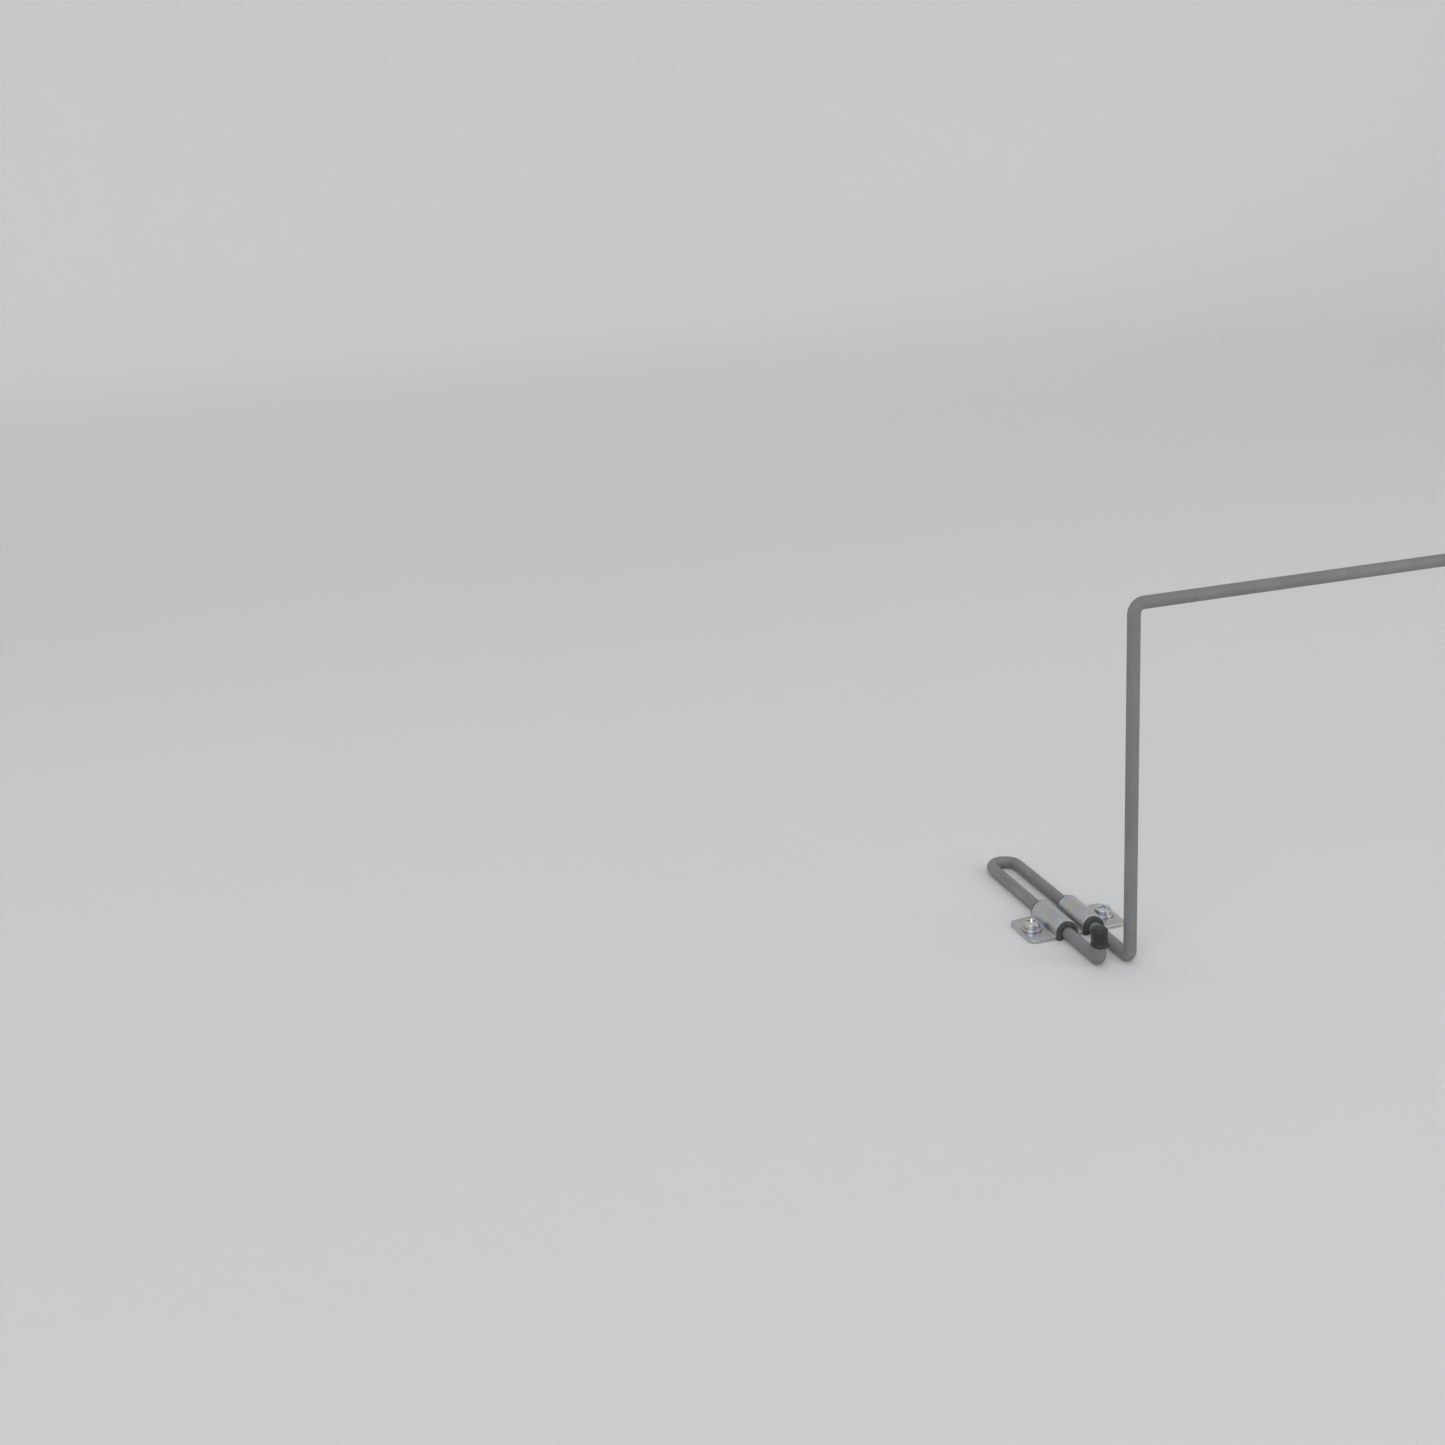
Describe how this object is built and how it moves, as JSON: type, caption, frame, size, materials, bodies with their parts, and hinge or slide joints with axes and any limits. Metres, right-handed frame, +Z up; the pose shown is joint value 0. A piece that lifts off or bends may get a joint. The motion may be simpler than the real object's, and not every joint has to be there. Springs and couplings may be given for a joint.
{
  "type": "mattress retaining rail",
  "caption": "Low bent-rod hoop for the foot end of a bed, with hairpin feet that slide fore and aft in saddle clips screwed to the bed's foot rail.",
  "frame": {"origin": "on the top face of the bed's foot rail, midway between the two clips, on the line of the clips' screws", "axes": "+X along the foot rail to the right as seen from the foot end, +Y towards the head of the bed, +Z up"},
  "size_m": [0.4162, 0.123, 0.1868],
  "materials": {
    "rod_coating": "satin-matt mid grey powder coat on 6 mm steel rod",
    "cap_plastic": "soft black vinyl cap, fine satin",
    "clip_zinc": "bright zinc plated pressed steel",
    "liner_nylon": "moulded dark grey nylon",
    "washer_zinc": "zinc plated washer",
    "screw_zinc": "zinc plated pan-head wood screw"
  },
  "bodies": {
    "clips": {"saddle_clip_left": "clip_zinc", "leg_liner_left_inner": "liner_nylon", "washer_left_inner": "washer_zinc", "screw_left_inner": "screw_zinc", "leg_liner_left_outer": "liner_nylon", "washer_left_outer": "washer_zinc", "screw_left_outer": "screw_zinc", "saddle_clip_right": "clip_zinc", "leg_liner_right_inner": "liner_nylon", "washer_right_inner": "washer_zinc", "screw_right_inner": "screw_zinc", "leg_liner_right_outer": "liner_nylon", "washer_right_outer": "washer_zinc", "screw_right_outer": "screw_zinc"},
    "hoop": {"rail_rod": "rod_coating", "tip_cap_left": "cap_plastic", "tip_cap_right": "cap_plastic"}
  },
  "joints": [
    {"name": "hoop_slide", "type": "slide", "parent": "clips", "child": "hoop", "axis": [0, 1, 0], "range_m": [-0.05, 0.025]}
  ]
}
